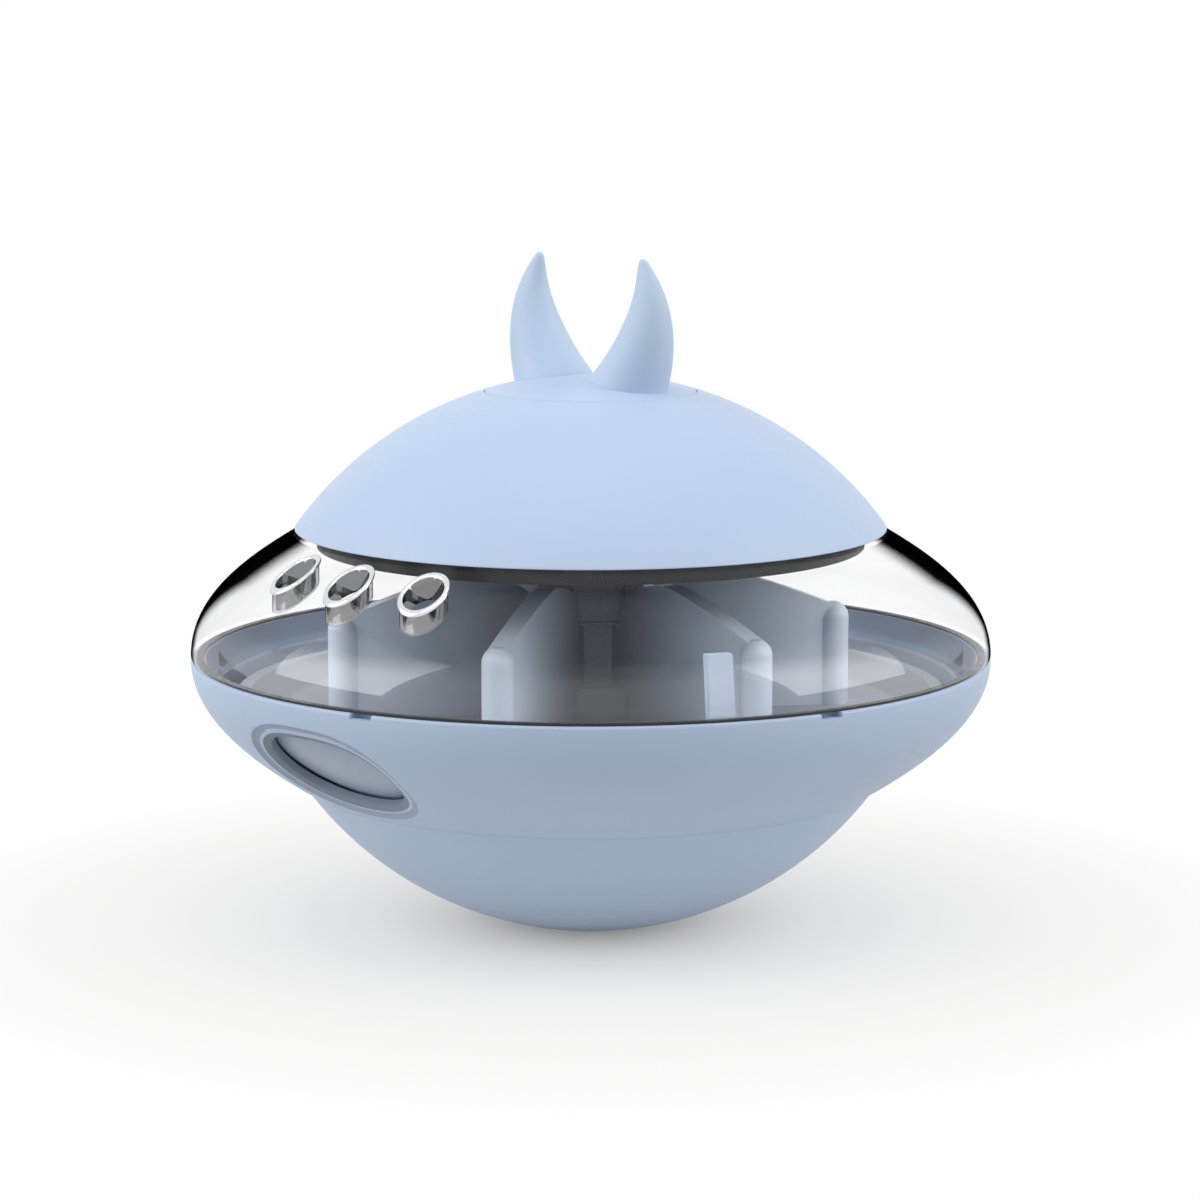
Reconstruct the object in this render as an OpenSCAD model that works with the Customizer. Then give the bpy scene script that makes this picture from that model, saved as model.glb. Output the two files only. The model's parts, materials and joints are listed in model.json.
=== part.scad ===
// Treat dispensing wobble toy: a saucer on a round, weighted base, with a clear window ring
// round its treat chamber, a lift-off domed lid, and a plug with two soft ears that closes the lid.
// Lengths are millimetres. The origin is the centre of the flat foot, +Z is up, and the front,
// with the treat port and the three outlet sleeves, faces -Y. Angles go from the front towards +X.

/* [Saucer] */
// Widest diameter, where saucer and window meet
saucer_d = 120; // [116:1:124]
// Height of that parting line above the ground
seam_h = 41; // [40:0.5:43]
// Height where the saucer meets the base cup
kink_h = 21.6; // [21:0.1:22.6]
// Slope of the saucer where it meets the base cup, in degrees
saucer_slope = 31; // [29:0.5:33]
// Wall of the saucer
saucer_wall = 2.2; // [2:0.1:2.4]
// Floor plate of the saucer
saucer_floor = 2.4; // [2:0.1:3]

/* [Base] */
// Radius of the round underside that the toy rocks on
base_round_r = 53; // [51:0.5:56]
// Radius of the flat spot that it stands on
foot_r = 8.8; // [7:0.2:10]
// Wall of the base cup
base_wall = 2.4; // [2:0.1:2.8]
// Radius of the steel weight
weight_r = 27; // [22:0.5:28]
// Height of the steel weight
weight_t = 10; // [7:0.5:11]

/* [Window] */
// Width of the clear window ring seen from above, from the dome's edge to the saucer's widest place
window_w = 15.6; // [15:0.1:16.4]
// Wall of the clear window ring
window_wall = 2; // [1.6:0.1:2.4]
// Slope of the window where it meets the dome, in degrees
window_slope = 31; // [29:0.5:34]
// Turn that frees the window from the saucer, in degrees
bayonet_turn = 25; // [20:1:30]

/* [Dome] */
// Height of the domed lid above its lower edge
dome_rise = 22.8; // [21:0.2:24]
// Height of the dome's lower edge above the ground
dome_rim_h = 60; // [59:0.5:62]
// Wall of the dome
dome_wall = 2.2; // [1.8:0.1:2.6]

/* [Plug and ears] */
// Radius of the round cap in the top of the dome
cap_r = 15.8; // [15:0.1:17]
// Radius of the fill hole under the cap
fill_r = 13.2; // [12.6:0.1:14]
// Height of the ear tips above the top of the cap
ear_h = 17.8; // [15:0.2:21]
// Widest distance across both ears
ears_span = 31.2; // [29:0.2:34]
// Radius of an ear's round foot
ear_foot_r = 6; // [5:0.2:6.6]

/* [Outlet sleeves] */
// Gap between the dome's edge and the rims of the sleeves
outlet_dome_gap = 1; // [0.7:0.1:1.4]
// Angle from one sleeve to the next, in degrees
outlet_step = 15.8; // [14:0.2:18]
// Outer radius of a sleeve
outlet_r = 3.4; // [3.4:0.1:4]
// Wall of a sleeve
outlet_wall = 0.5; // [0.4:0.05:0.6]

/* [Port and gate] */
// Height of the middle of the port
port_h = 28.2; // [27.8:0.1:28.6]
// Half of the width of the port's opening
port_half_w = 11.8; // [10:0.2:13]
// Half of the height of the port's opening, along the wall
port_half_h = 7.7; // [6.6:0.1:7.9]
// Width of the stepped rim round the port
port_rim_w = 2.1; // [1.6:0.1:2.4]
// Depth of that rim
port_rim_depth = 1; // [0.7:0.1:1.3]
// Turn that opens the gate, in degrees
gate_turn = 45; // [40:1:50]
// Thickness of the gate's band
gate_t = 1.6; // [1.4:0.1:1.8]
// Angle of the thumb tab with the gate shut, in degrees
tab_angle = 63.5; // [58:0.5:66]
// Width of the thumb tab
tab_w = 3.7; // [3.4:0.1:6]
// Height of the top of the thumb tab
tab_h = 49.2; // [47:0.2:50.4]

/* [Treat chamber] */
// Height of the tray's floor
tray_h = 32; // [31.4:0.2:32.6]
// Wall and floor of the tray
tray_wall = 1.6; // [1.4:0.1:1.8]
// Number of fins on the partition wheel
fin_count = 6; // [5:1:8]
// Gap between the ends of the fins and the tray's wall, at the tray's floor
fin_tray_gap = 7.7; // [6:0.1:9]
// Thickness of a fin
fin_t = 3; // [2:0.1:3.6]
// Height of the highest point of a fin
fin_top_h = 53.2; // [51:0.2:54]
// Height of a fin's outer corner
fin_corner_h = 47.3; // [46:0.1:49]
// Angle of the first fin, in degrees
fin_angle = 23.5; // [18:0.5:28]
// Corner radius of the six-sided hub
hub_r = 7.6; // [7:0.1:8]
// Height of the top of the hub's cap
hub_top_h = 56; // [55:0.2:57]

/* [Hidden] */
$fn = 96;
CURVE_STEPS = 16;
SEARCH_STEPS = 24;

// Fits and gaps, and how far a cut runs past what it cuts
fit = 0.05;
slide_gap = 0.3;
gate_gap = 0.4;
tray_gap = 0.5;
seam_gap = 0.4;
over = 1;

// Base cup
base_mid_h = sqrt(pow(base_round_r, 2) - pow(foot_r, 2));
base_inner_r = base_round_r - base_wall;
kink_r = sqrt(pow(base_round_r, 2) - pow(base_mid_h - kink_h, 2));
pad_h = 4;
shadow_line_w = 0.8;
shadow_line_h = 0.25;
spigot_h = 1.6;
spigot_t = 2;
spigot_r = sqrt(pow(base_inner_r, 2) - pow(base_mid_h - kink_h + spigot_h, 2)) - slide_gap;

// Weight, with its washer and screw
weight_top_h = pad_h + weight_t;
weight_boss_r = 4;
weight_boss_gap = 0.6;
washer_r = 7;
washer_t = 1.2;
weight_screw_r = 1.9;
weight_screw_head_r = 4;
weight_screw_head_h = 2.4;
weight_screw_end_gap = 1;

// Screws that hold the base cup to the saucer
base_screw_count = 4;
base_screw_first = 45;
base_screw_place_r = 33.2;
base_screw_r = 1.3;
base_screw_head_r = 2.8;
base_screw_head_h = 1.8;
base_screw_len = 7.4;
base_screw_end_gap = 0.6;
base_boss_r = 3.2;
base_boss_skin = 1;
driver_slot_w = 0.8;
driver_slot_depth = 0.9;
driver_slot_share = 1.3;

// Saucer's outline, from the parting line down to the base cup
bowl_upper_share = 0.386;
bowl_lower_share = 0.654;
saucer_r = saucer_d / 2;
rim_top_h = seam_h - seam_gap / 2;
bowl_reach = bowl_lower_share * (saucer_r - kink_r);
bowl_curve = [
    [saucer_r, rim_top_h],
    [saucer_r, rim_top_h - bowl_upper_share * (seam_h - kink_h)],
    [kink_r + bowl_reach * cos(saucer_slope), kink_h + bowl_reach * sin(saucer_slope)],
    [kink_r, kink_h]
];
floor_top_h = kink_h + saucer_floor;
pry_notch_angles = [12, 78];
pry_notch_w = 3;
pry_notch_h = 0.5;
pry_notch_depth = 0.7;

// Seal in the parting line
seam_seal_inset = 0.8;
seam_seal_w = 1.1;

// Port in the saucer's wall
PORT_STEPS = 56;
port_squareness = 2.4;
port_rim_lift = 0.8;
port_reach = 7;

// Gate, which runs inside the saucer's wall
gate_inset = saucer_wall + gate_gap;
gate_foot_gap = 0.5;
gate_top_gap = 1.3;
gate_window_margin = 0.4;
tab_t = 1.8;
tab_foot_share = 0.8;
tab_foot_drop_share = 0.04;
tab_window_gap = 1;

// Tray, which follows the gate
tray_inset = gate_inset + gate_t + tray_gap;
tray_rim_gap = 2.4;
tray_floor_t = 2;
tray_under_h = tray_h - tray_floor_t;
tray_skirt_r = 41.6;
tray_skirt_t = 1.4;
centre_boss_r = 5;
chute_gap = 1;

// Partition wheel, its cap and its screw
FIN_STEPS = 10;
EDGE_STEPS = 6;
fin_peak_r = 19;
fin_root_h = 48.2;
fin_fall_power = 1.25;
fin_edge_r = 2.4;
fin_edge_proud = 0.3;
fin_edge_arc = 72;
hub_boss_r = 10;
hub_boss_h = 5;
hub_split_share = 0.6;
hub_split_h = tray_h + hub_split_share * (hub_top_h - tray_h);
fin_join_drop = 0.4;
fin_join_h = hub_split_h - fin_join_drop;
hub_cap_extra = 0.6;
fin_r = bowl_r(tray_inset + tray_wall, tray_h) - fin_tray_gap;
fin_start_r = hub_r + hub_cap_extra + slide_gap;
hub_screw_r = 1.5;
hub_screw_head_r = 2.8;
hub_screw_head_h = 1.8;
hub_screw_sink = 3;
hub_screw_end_gap = 0.6;

// Window's outline, from the parting line up to the dome
window_lower_share = 0.46;
window_upper_share = 0.51;
dome_rim_r = saucer_r - window_w;
window_low_h = seam_h + seam_gap / 2;
dome_rim_land = 0.5;
window_top = [dome_rim_r, dome_rim_h - slide_gap - dome_rim_land * tan(window_slope)];
window_reach = window_upper_share * window_w;
window_curve = [
    [saucer_r, window_low_h],
    [saucer_r, window_low_h + window_lower_share * (dome_rim_h - seam_h)],
    [window_top[0] + window_reach * cos(window_slope), window_top[1] - window_reach * sin(window_slope)],
    window_top
];

// Collar at the top of the window
collar_inset = 3.1;
collar_land = 1.3;
collar_t = 1.7;
collar_drop = 3.6;
collar_r = dome_rim_r - collar_inset;
collar_top_h = window_top[1] + (collar_inset - collar_land) * tan(window_slope);

// Bayonet between window and saucer
skirt_drop = 3.3;
skirt_t = 1.2;
skirt_ledge = 1.3;
skirt_end_h = window_low_h - skirt_drop;
lug_count = 3;
lug_first = 30;
lug_span = 12;
lug_side_gap = 1;
lug_t = 1.2;
lug_depth = 1.1;
lug_lift = 0.4;
lug_low_h = skirt_end_h + lug_lift;

// Outlet sleeves
outlet_lip_t = 0.4;
outlet_lip_w = 0.3;
outlet_drop = 3;
outlet_bore_r = outlet_r - outlet_wall;
outlet_place_r = dome_rim_r + outlet_dome_gap + outlet_lip_w + outlet_r;

// Dome and its seal
dome_round_r = (pow(dome_rim_r, 2) + pow(dome_rise, 2)) / (2 * dome_rise);
dome_inner_r = dome_round_r - dome_wall;
dome_top_h = dome_rim_h + dome_rise;
dome_mid_h = dome_top_h - dome_round_r;
dome_under_h = collar_top_h + slide_gap;
dome_skirt_r = collar_r - slide_gap;
dome_skirt_t = 1.8;
dome_skirt_drop = 3.4;
dome_skirt_join = 1.6;
lid_seal_h = 1.4;
lid_seal_depth = 0.5;
lid_seal_proud = 0.1;
lid_seal_drop = 0.8;

// Cap, its seat in the dome and its plug
cap_gap = 0.3;
cap_edge_t = 2.6;
cap_roof_t = 2.6;
cap_under_h = sphere_h(dome_round_r, dome_mid_h, cap_r) - cap_edge_t;
cap_roof_h = dome_top_h - cap_roof_t;
seat_h = cap_under_h - fit;
seat_w = 2.1;
seat_t = 2.2;
plug_r = fill_r - slide_gap;
plug_t = 1.8;
plug_low_h = seat_h - 2.4 * seat_t;
plug_seal_h = 1.4;
plug_seal_depth = 0.6;
plug_seal_proud = 0.1;
plug_seal_drop = 1.4;

// Ears: shares of the height, of half of the span and of the foot's radius, from foot to tip
EAR_SIDES = 32;
ear_height_shares = [0, 0.06, 0.14, 0.23, 0.33, 0.44, 0.55, 0.66, 0.76, 0.85, 0.93, 0.98];
ear_middle_shares = [0.492, 0.538, 0.594, 0.649, 0.697, 0.739, 0.767, 0.777, 0.766, 0.74, 0.705, 0.688];
ear_round_shares = [1, 0.95, 0.89, 0.83, 0.76, 0.678, 0.587, 0.485, 0.385, 0.285, 0.185, 0.118];
ear_flat_share = 0.2;
ear_tip_share = 0.68;
ear_sink = 0.2;
ear_tip_h = dome_top_h + ear_h;
root_place_r = 7.2;
root_w = 6.4;
root_t = 2.4;
root_foot_t = 4.2;
root_foot_h = 1.4;

// Height at a distance from the axis on a ball of radius r about the height mid_h
function sphere_h(r, mid_h, away) = mid_h + sqrt(pow(r, 2) - pow(away, 2));

// Point and direction at share t of a four-point curve
function on_curve(c, t) =
    pow(1 - t, 3) * c[0] + 3 * pow(1 - t, 2) * t * c[1] + 3 * (1 - t) * t * t * c[2] + pow(t, 3) * c[3];
function along_curve(c, t) =
    let (d = pow(1 - t, 2) * (c[1] - c[0]) + 2 * (1 - t) * t * (c[2] - c[1]) + t * t * (c[3] - c[2]))
    d / norm(d);
function climbs(c) = c[3][1] > c[0][1] ? 1 : -1;

// Points set in from a curve, towards the axis
function inset_point(c, t, inset) =
    let (d = along_curve(c, t))
    on_curve(c, t) + climbs(c) * inset * [-d[1], d[0]];
function inset_points(c, inset, from, to) =
    [for (i = [0:CURVE_STEPS]) inset_point(c, from + (to - from) * i / CURVE_STEPS, inset)];

// Share of a curve at which its inset outline has a given radius (axis 0) or height (axis 1)
function share_at(c, inset, value, axis = 1, low = 0, high = 1, left = SEARCH_STEPS) =
    let (
        middle = (low + high) / 2,
        grows = axis == 1 ? climbs(c) : -1,
        past = grows * (inset_point(c, middle, inset)[axis] - value) > 0
    )
    left == 0 ? middle
    : past ? share_at(c, inset, value, axis, low, middle, left - 1)
    : share_at(c, inset, value, axis, middle, high, left - 1);

// Radius at height h of the outline set in from the saucer's face
function bowl_r(inset, h) = inset_point(bowl_curve, share_at(bowl_curve, inset, h), inset)[0];

// Port's outline, an oval with blunt corners
function oval(half_w, half_h) = [
    for (i = [0:PORT_STEPS - 1])
        let (a = 360 * i / PORT_STEPS, power = 2 / port_squareness)
        [half_w * sign(cos(a)) * pow(abs(cos(a)), power), half_h * sign(sin(a)) * pow(abs(sin(a)), power)]
];

// Height of a fin's upper edge at a distance from the axis
function fin_h(away) =
    away > fin_peak_r
    ? fin_top_h - (fin_top_h - fin_corner_h)
        * pow((away - fin_peak_r) / (fin_r - fin_edge_r - fin_peak_r), fin_fall_power)
    : fin_root_h + (fin_top_h - fin_root_h)
        * sqrt(1 - pow((fin_peak_r - away) / (fin_peak_r - fin_start_r), 2));

// Places and plain shapes that the pieces share
module at(angle, away = 0) rotate([0, 0, angle - 90]) translate([away, 0, 0]) children();
module disc(r, low, high) translate([0, 0, low]) cylinder(r = r, h = high - low);
module ball(r, mid_h) translate([0, 0, mid_h]) rotate([0, 0, 90]) sphere(r = r);
module turned(points) rotate_extrude() polygon(points);
module ring(outer, inner, low, high)
    difference() {
        disc(outer, low, high);
        disc(inner, low - over, high + over);
    }
module sector(outer, inner, low, high, middle, span)
    at(middle - span / 2)
        rotate_extrude(angle = span)
            translate([inner, low])
                square([outer - inner, high - low]);
module at_port() {
    t = share_at(bowl_curve, 0, port_h);
    place = inset_point(bowl_curve, t, 0);
    way = along_curve(bowl_curve, t);
    translate([0, -place[0], place[1]])
        rotate([180 - atan2(-way[1], -way[0]), 0, 0])
            children();
}
module port_prism(half_w, half_h, lift = 0)
    at_port()
        translate([0, lift, 0])
            linear_extrude(height = 2 * port_reach, center = true)
                polygon(oval(half_w, half_h));
module pan_screw(shank_r, head_r, head_h, seat, end) {
    disc(shank_r, end, seat + head_h / 2);
    difference() {
        disc(head_r, seat, seat + head_h);
        for (turn = [0, 90])
            rotate([0, 0, turn])
                translate([0, 0, seat + head_h - driver_slot_depth / 2 + over / 2])
                    cube([driver_slot_share * head_r, driver_slot_w, driver_slot_depth + over],
                        center = true);
    }
}
module at_base_screws()
    for (i = [0:base_screw_count - 1])
        at(base_screw_first + 360 * i / base_screw_count, base_screw_place_r)
            children();

// Round weighted foot
module base_cup()
    color("lightsteelblue")
    difference() {
        union() {
            difference() {
                ball(base_round_r, base_mid_h);
                intersection() {
                    ball(base_inner_r, base_mid_h);
                    disc(base_round_r, pad_h, kink_h + over);
                }
            }
            disc(weight_boss_r, pad_h / 2, weight_top_h - weight_boss_gap);
            intersection() {
                at_base_screws() disc(base_boss_r, pad_h, kink_h + over);
                ball(base_round_r - base_boss_skin, base_mid_h);
            }
        }
        disc(base_round_r + over, kink_h, base_mid_h + base_round_r + over);
        disc(base_round_r, base_mid_h - base_round_r - over, 0);
        ring(kink_r + over, kink_r - shadow_line_w, kink_h - shadow_line_h, kink_h + over);
        disc(weight_screw_r + fit, pad_h + weight_screw_end_gap / 2, weight_top_h);
        at_base_screws()
            disc(base_screw_r + fit, floor_top_h - base_screw_len - base_screw_end_gap, kink_h + over);
    }

module base_weight()
    color("silver")
    difference() {
        intersection() {
            ball(base_inner_r - slide_gap, base_mid_h);
            disc(weight_r, pad_h, weight_top_h);
        }
        disc(weight_boss_r + slide_gap, pad_h - over, weight_top_h + over);
    }

module weight_washer()
    color("gray")
    ring(washer_r, weight_screw_r + slide_gap, weight_top_h, weight_top_h + washer_t);

module weight_screw()
    color("dimgray")
    pan_screw(weight_screw_r, weight_screw_head_r, weight_screw_head_h,
        weight_top_h + washer_t, pad_h + weight_screw_end_gap);

module base_screws()
    color("dimgray")
    at_base_screws()
        pan_screw(base_screw_r, base_screw_head_r, base_screw_head_h,
            floor_top_h, floor_top_h - base_screw_len);

// Lower shell of the saucer, with the port, the bayonet's grooves and the floor
module saucer_bowl()
    color("lightsteelblue")
    difference() {
        union() {
            turned(concat(
                inset_points(bowl_curve, 0, 0, 1),
                [[0, kink_h], [0, floor_top_h]],
                inset_points(bowl_curve, saucer_wall, share_at(bowl_curve, saucer_wall, floor_top_h), 0)
            ));
            ring(spigot_r, spigot_r - spigot_t, kink_h - spigot_h, kink_h + saucer_floor / 2);
            disc(centre_boss_r, kink_h + saucer_floor / 2, tray_under_h);
        }
        port_prism(port_half_w, port_half_h);
        intersection() {
            port_prism(port_half_w + port_rim_w, port_half_h + port_rim_w, port_rim_lift);
            turned(concat(
                inset_points(bowl_curve, -over, 0, 1),
                inset_points(bowl_curve, port_rim_depth, 1, 0)
            ));
        }
        bayonet_grooves();
        for (angle = pry_notch_angles)
            at(angle, saucer_r - pry_notch_depth + over)
                translate([0, 0, rim_top_h])
                    cube([2 * over, pry_notch_w, 2 * pry_notch_h], center = true);
        at_base_screws() disc(base_screw_r + slide_gap, kink_h - over, floor_top_h + over);
        disc(hub_screw_r + fit, floor_top_h, tray_under_h + over);
    }

module bayonet_grooves() {
    width = lug_span + 2 * lug_side_gap;
    outer = skirt_r() + lug_depth + slide_gap;
    low = lug_low_h - slide_gap;
    for (i = [0:lug_count - 1]) {
        angle = lug_first + 360 * i / lug_count;
        sector(outer, skirt_r(), low, lug_low_h + lug_t + slide_gap,
            angle + bayonet_turn / 2, width + bayonet_turn);
        sector(outer + fit, skirt_r(), lug_low_h + lug_t / 2, rim_top_h + over,
            angle + bayonet_turn, width + lug_side_gap);
    }
}

module seam_seal()
    color("black")
    ring(saucer_r - seam_seal_inset, saucer_r - seam_seal_inset - seam_seal_w,
        rim_top_h, window_low_h - fit);

// Dish that carries the treats; its chute leads to the port
module treat_tray()
    color("lightslategray")
    difference() {
        union() {
            rim = skirt_end_h - tray_rim_gap;
            turned(concat(
                inset_points(bowl_curve, tray_inset,
                    share_at(bowl_curve, tray_inset, rim), share_at(bowl_curve, tray_inset, tray_under_h)),
                [[0, tray_under_h], [0, tray_h]],
                inset_points(bowl_curve, tray_inset + tray_wall,
                    share_at(bowl_curve, tray_inset + tray_wall, tray_h),
                    share_at(bowl_curve, tray_inset + tray_wall, rim))
            ));
            ring(tray_skirt_r, tray_skirt_r - tray_skirt_t, floor_top_h, tray_under_h + tray_floor_t / 2);
        }
        disc(hub_screw_r + slide_gap, tray_under_h - over, tray_h + over);
        translate([-port_half_w - chute_gap, -saucer_r, tray_under_h - over])
            cube([2 * (port_half_w + chute_gap), saucer_r - tray_skirt_r - over, seam_h - tray_under_h]);
    }

// Hub and fins that hold the treats apart
module partition_wheel()
    color("lightsteelblue")
    difference() {
        union() {
            disc(hub_boss_r, tray_h - over, tray_h + hub_boss_h);
            at(fin_angle) translate([0, 0, tray_h + hub_boss_h / 2])
                cylinder(r = hub_r, h = hub_split_h - tray_h - hub_boss_h / 2, $fn = fin_count);
            for (i = [0:fin_count - 1])
                at(fin_angle + 360 * i / fin_count)
                    fin();
        }
        disc(fin_r + over, tray_h - 2 * over, tray_h);
        disc(hub_screw_r + slide_gap, tray_h - over, hub_split_h + over);
    }

module fin() {
    edge = fin_r - fin_edge_r;
    bead_h = fin_corner_h + fin_edge_proud - fin_edge_r * sin(fin_edge_arc);
    inside = [for (i = [0:FIN_STEPS]) fin_start_r + (fin_peak_r - fin_start_r) * i / FIN_STEPS];
    outside = [for (i = [1:FIN_STEPS]) fin_peak_r + (edge - fin_peak_r) * i / FIN_STEPS];
    rotate([90, 0, 0])
        linear_extrude(height = fin_t, center = true)
            polygon(concat(
                [
                    [edge, tray_h - over / 2],
                    [hub_r / 2, tray_h - over / 2],
                    [hub_r / 2, fin_join_h],
                    [fin_start_r, fin_join_h]
                ],
                [for (away = concat(inside, outside)) [away, fin_h(away)]]
            ));
    translate([edge, 0, 0])
        turned(concat(
            [[0, tray_h - over], [fin_edge_r, tray_h - over]],
            [
                for (i = [0:EDGE_STEPS])
                    let (a = fin_edge_arc * i / EDGE_STEPS)
                    [fin_edge_r * cos(a), bead_h + fin_edge_r * sin(a)]
            ],
            [[0, bead_h + fin_edge_r * sin(fin_edge_arc)]]
        ));
}

module hub_cap()
    color("lightsteelblue")
    difference() {
        at(fin_angle) translate([0, 0, hub_split_h])
            cylinder(r = hub_r + hub_cap_extra, h = hub_top_h - hub_split_h, $fn = fin_count);
        disc(hub_screw_r + slide_gap, hub_split_h - over, hub_top_h + over);
        disc(hub_screw_head_r + slide_gap, hub_top_h - hub_screw_sink, hub_top_h + over);
    }

module hub_screw()
    color("dimgray")
    pan_screw(hub_screw_r, hub_screw_head_r, hub_screw_head_h,
        hub_top_h - hub_screw_sink, floor_top_h + hub_screw_end_gap);

// Shutter behind the port, turned by its thumb tab, which steps in past the window's skirt
module gate_ring() {
    low = share_at(bowl_curve, gate_inset, floor_top_h + gate_foot_gap);
    high = share_at(bowl_curve, gate_inset, skirt_end_h - gate_top_gap);
    outer_corner = inset_point(bowl_curve, high, gate_inset);
    inner_corner = inset_point(bowl_curve, high, gate_inset + gate_t);
    tip_share = share_at(window_curve, window_wall, tab_h);
    tip_r = inset_point(window_curve, tip_share, window_wall)[0] - tab_window_gap;
    step_r = skirt_r() - skirt_t - gate_gap;
    step_h = skirt_end_h - slide_gap;
    color("powderblue") {
        difference() {
            turned(concat(
                inset_points(bowl_curve, gate_inset, high, low),
                inset_points(bowl_curve, gate_inset + gate_t, low, high)
            ));
            rotate([0, 0, -gate_turn])
                port_prism(port_half_w + gate_window_margin, port_half_h + gate_window_margin);
        }
        at(tab_angle)
            rotate([90, 0, 0])
                linear_extrude(height = tab_w, center = true)
                    polygon([
                        inset_point(bowl_curve, high + tab_foot_drop_share, gate_inset + gate_t),
                        inset_point(bowl_curve, high + tab_foot_drop_share, gate_inset + gate_t / 2),
                        inner_corner + tab_foot_share * (outer_corner - inner_corner),
                        [step_r, step_h],
                        [tip_r, tab_h],
                        [tip_r - tab_t, tab_h],
                        [step_r - tab_t, step_h - slide_gap]
                    ]);
    }
}

// Radius of the window's skirt, which drops into the saucer
function skirt_r() = bowl_r(saucer_wall, skirt_end_h) - slide_gap;

// Clear ring with the collar for the dome, the bayonet's lugs and three bores for the sleeves
module window_ring()
    color("whitesmoke", 0.35)
    difference() {
        union() {
            turned(concat(
                inset_points(window_curve, 0, 0, 1),
                [
                    [collar_r + collar_land, collar_top_h],
                    [collar_r, collar_top_h],
                    [collar_r, collar_top_h - collar_drop],
                    [collar_r + collar_t, collar_top_h - collar_drop]
                ],
                inset_points(window_curve, window_wall, 1,
                    share_at(window_curve, window_wall, window_low_h + skirt_ledge)),
                [
                    [skirt_r() - skirt_t, window_low_h + skirt_ledge],
                    [skirt_r() - skirt_t, skirt_end_h],
                    [skirt_r(), skirt_end_h],
                    [skirt_r(), window_low_h]
                ]
            ));
            for (i = [0:lug_count - 1])
                sector(skirt_r() + lug_depth, skirt_r() - skirt_t / 2, lug_low_h, lug_low_h + lug_t,
                    lug_first + 360 * i / lug_count, lug_span);
        }
        for (side = [-1:1])
            at(side * outlet_step, outlet_place_r)
                disc(outlet_r + fit, seam_h, dome_rim_h);
    }

// Everything within the window's outer face, set in by a given depth
module window_body(inset)
    turned(concat(
        inset_points(window_curve, inset, 0, 1),
        [[0, window_top[1]], [0, window_low_h]]
    ));

module outlet_sleeve(side)
    color("gainsboro", 0.6)
    difference() {
        intersection() {
            window_body(-outlet_lip_t);
            at(side * outlet_step, outlet_place_r) disc(outlet_r + outlet_lip_w, seam_h, dome_rim_h);
        }
        difference() {
            window_body(0);
            at(side * outlet_step, outlet_place_r) disc(outlet_r, seam_h - over, dome_rim_h + over);
        }
        translate([0, 0, -outlet_drop]) window_body(0);
        at(side * outlet_step, outlet_place_r) disc(outlet_bore_r, seam_h - over, dome_rim_h + over);
    }
module outlet_sleeve_left() outlet_sleeve(-1);
module outlet_sleeve_middle() outlet_sleeve(0);
module outlet_sleeve_right() outlet_sleeve(1);

// Lid with a skirt for the window's collar and a seat for the cap
module top_dome()
    color("lightsteelblue")
    difference() {
        union() {
            difference() {
                ball(dome_round_r, dome_mid_h);
                ball(dome_inner_r, dome_mid_h);
                disc(dome_round_r + over, dome_mid_h - dome_round_r - over, dome_rim_h);
                translate([0, 0, dome_rim_h])
                    cylinder(r1 = dome_rim_r - dome_rim_land, r2 = collar_r + collar_land,
                        h = dome_under_h - dome_rim_h);
            }
            ring(dome_skirt_r, dome_skirt_r - dome_skirt_t,
                dome_under_h - dome_skirt_drop, dome_under_h + dome_skirt_join);
            intersection() {
                disc(cap_r + cap_gap + seat_w, seat_h - seat_t, dome_top_h);
                ball(dome_round_r - dome_wall / 2, dome_mid_h);
            }
        }
        disc(fill_r, plug_low_h - over, dome_top_h + over);
        disc(cap_r + cap_gap, seat_h, dome_top_h + over);
        ring(dome_skirt_r + over, dome_skirt_r - lid_seal_depth,
            lid_seal_low_h(), lid_seal_low_h() + lid_seal_h);
    }

function lid_seal_low_h() = dome_under_h - lid_seal_drop - lid_seal_h;

module lid_seal()
    color("dimgray")
    ring(dome_skirt_r + lid_seal_proud, dome_skirt_r - lid_seal_depth,
        lid_seal_low_h(), lid_seal_low_h() + lid_seal_h);

// Cap that closes the fill hole, slotted for the roots of the ears
module ear_cap()
    color("lightsteelblue")
    difference() {
        union() {
            intersection() {
                ball(dome_round_r, dome_mid_h);
                disc(cap_r, cap_under_h, dome_top_h + over);
            }
            disc(plug_r, plug_low_h, cap_under_h + cap_edge_t / 2);
        }
        disc(plug_r - plug_t, plug_low_h - over, cap_roof_h);
        for (side = [-1, 1])
            translate([side * root_place_r, 0, cap_roof_h])
                cube([root_w, root_t, 2 * cap_roof_t], center = true);
        ring(plug_r + over, plug_r - plug_seal_depth, plug_seal_low_h(), plug_seal_low_h() + plug_seal_h);
    }

function plug_seal_low_h() = seat_h - plug_seal_drop - plug_seal_h;

module plug_seal()
    color("dimgray")
    ring(plug_r + plug_seal_proud, plug_r - plug_seal_depth,
        plug_seal_low_h(), plug_seal_low_h() + plug_seal_h);

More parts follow.
